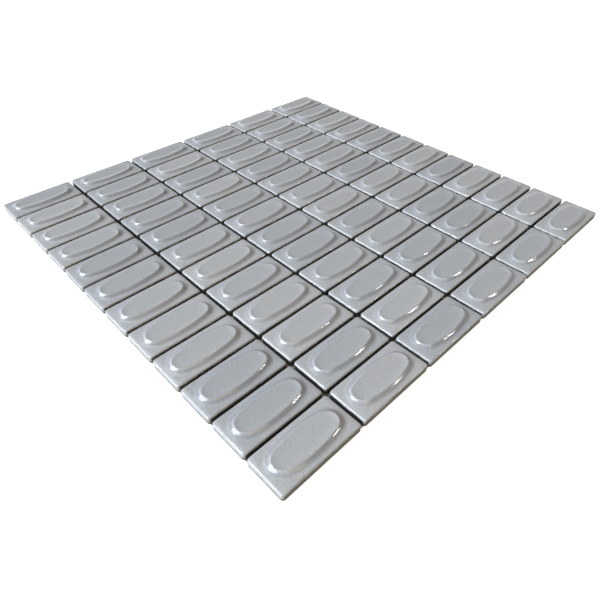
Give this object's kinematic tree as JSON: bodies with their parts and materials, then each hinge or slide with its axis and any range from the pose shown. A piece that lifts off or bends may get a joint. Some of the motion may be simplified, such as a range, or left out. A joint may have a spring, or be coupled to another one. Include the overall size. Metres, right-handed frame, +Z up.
{
  "type": "mosaic tile sheet",
  "caption": "Flat sheet of small rectangular grey glazed ceramic tiles, each with a raised long oval, held at even joints by a net on the back for laying as one piece.",
  "frame": {"origin": "middle of the sheet on the underside of the net", "axes": "+X along the tiles' long sides, +Y across the rows, +Z up out of the glazed faces"},
  "size_m": [0.2956, 0.2888, 0.0068],
  "materials": {
    "glazed_tile": "satin-gloss mid grey glaze",
    "net_strand": "dark grey resin-coated glass-fibre strands"
  },
  "bodies": {
    "root": {"tile_row_01": "glazed_tile", "tile_row_02": "glazed_tile", "tile_row_03": "glazed_tile", "tile_row_04": "glazed_tile", "tile_row_05": "glazed_tile", "tile_row_06": "glazed_tile", "tile_row_07": "glazed_tile", "tile_row_08": "glazed_tile", "tile_row_09": "glazed_tile", "tile_row_10": "glazed_tile", "tile_row_11": "glazed_tile", "tile_row_12": "glazed_tile", "net_strip_01": "net_strand", "net_strip_02": "net_strand", "net_strip_03": "net_strand", "net_strip_04": "net_strand", "net_strip_05": "net_strand", "net_strip_06": "net_strand", "net_strip_07": "net_strand", "net_strip_08": "net_strand", "net_strip_09": "net_strand", "net_strip_10": "net_strand", "net_strip_11": "net_strand", "net_strip_12": "net_strand"}
  },
  "joints": []
}
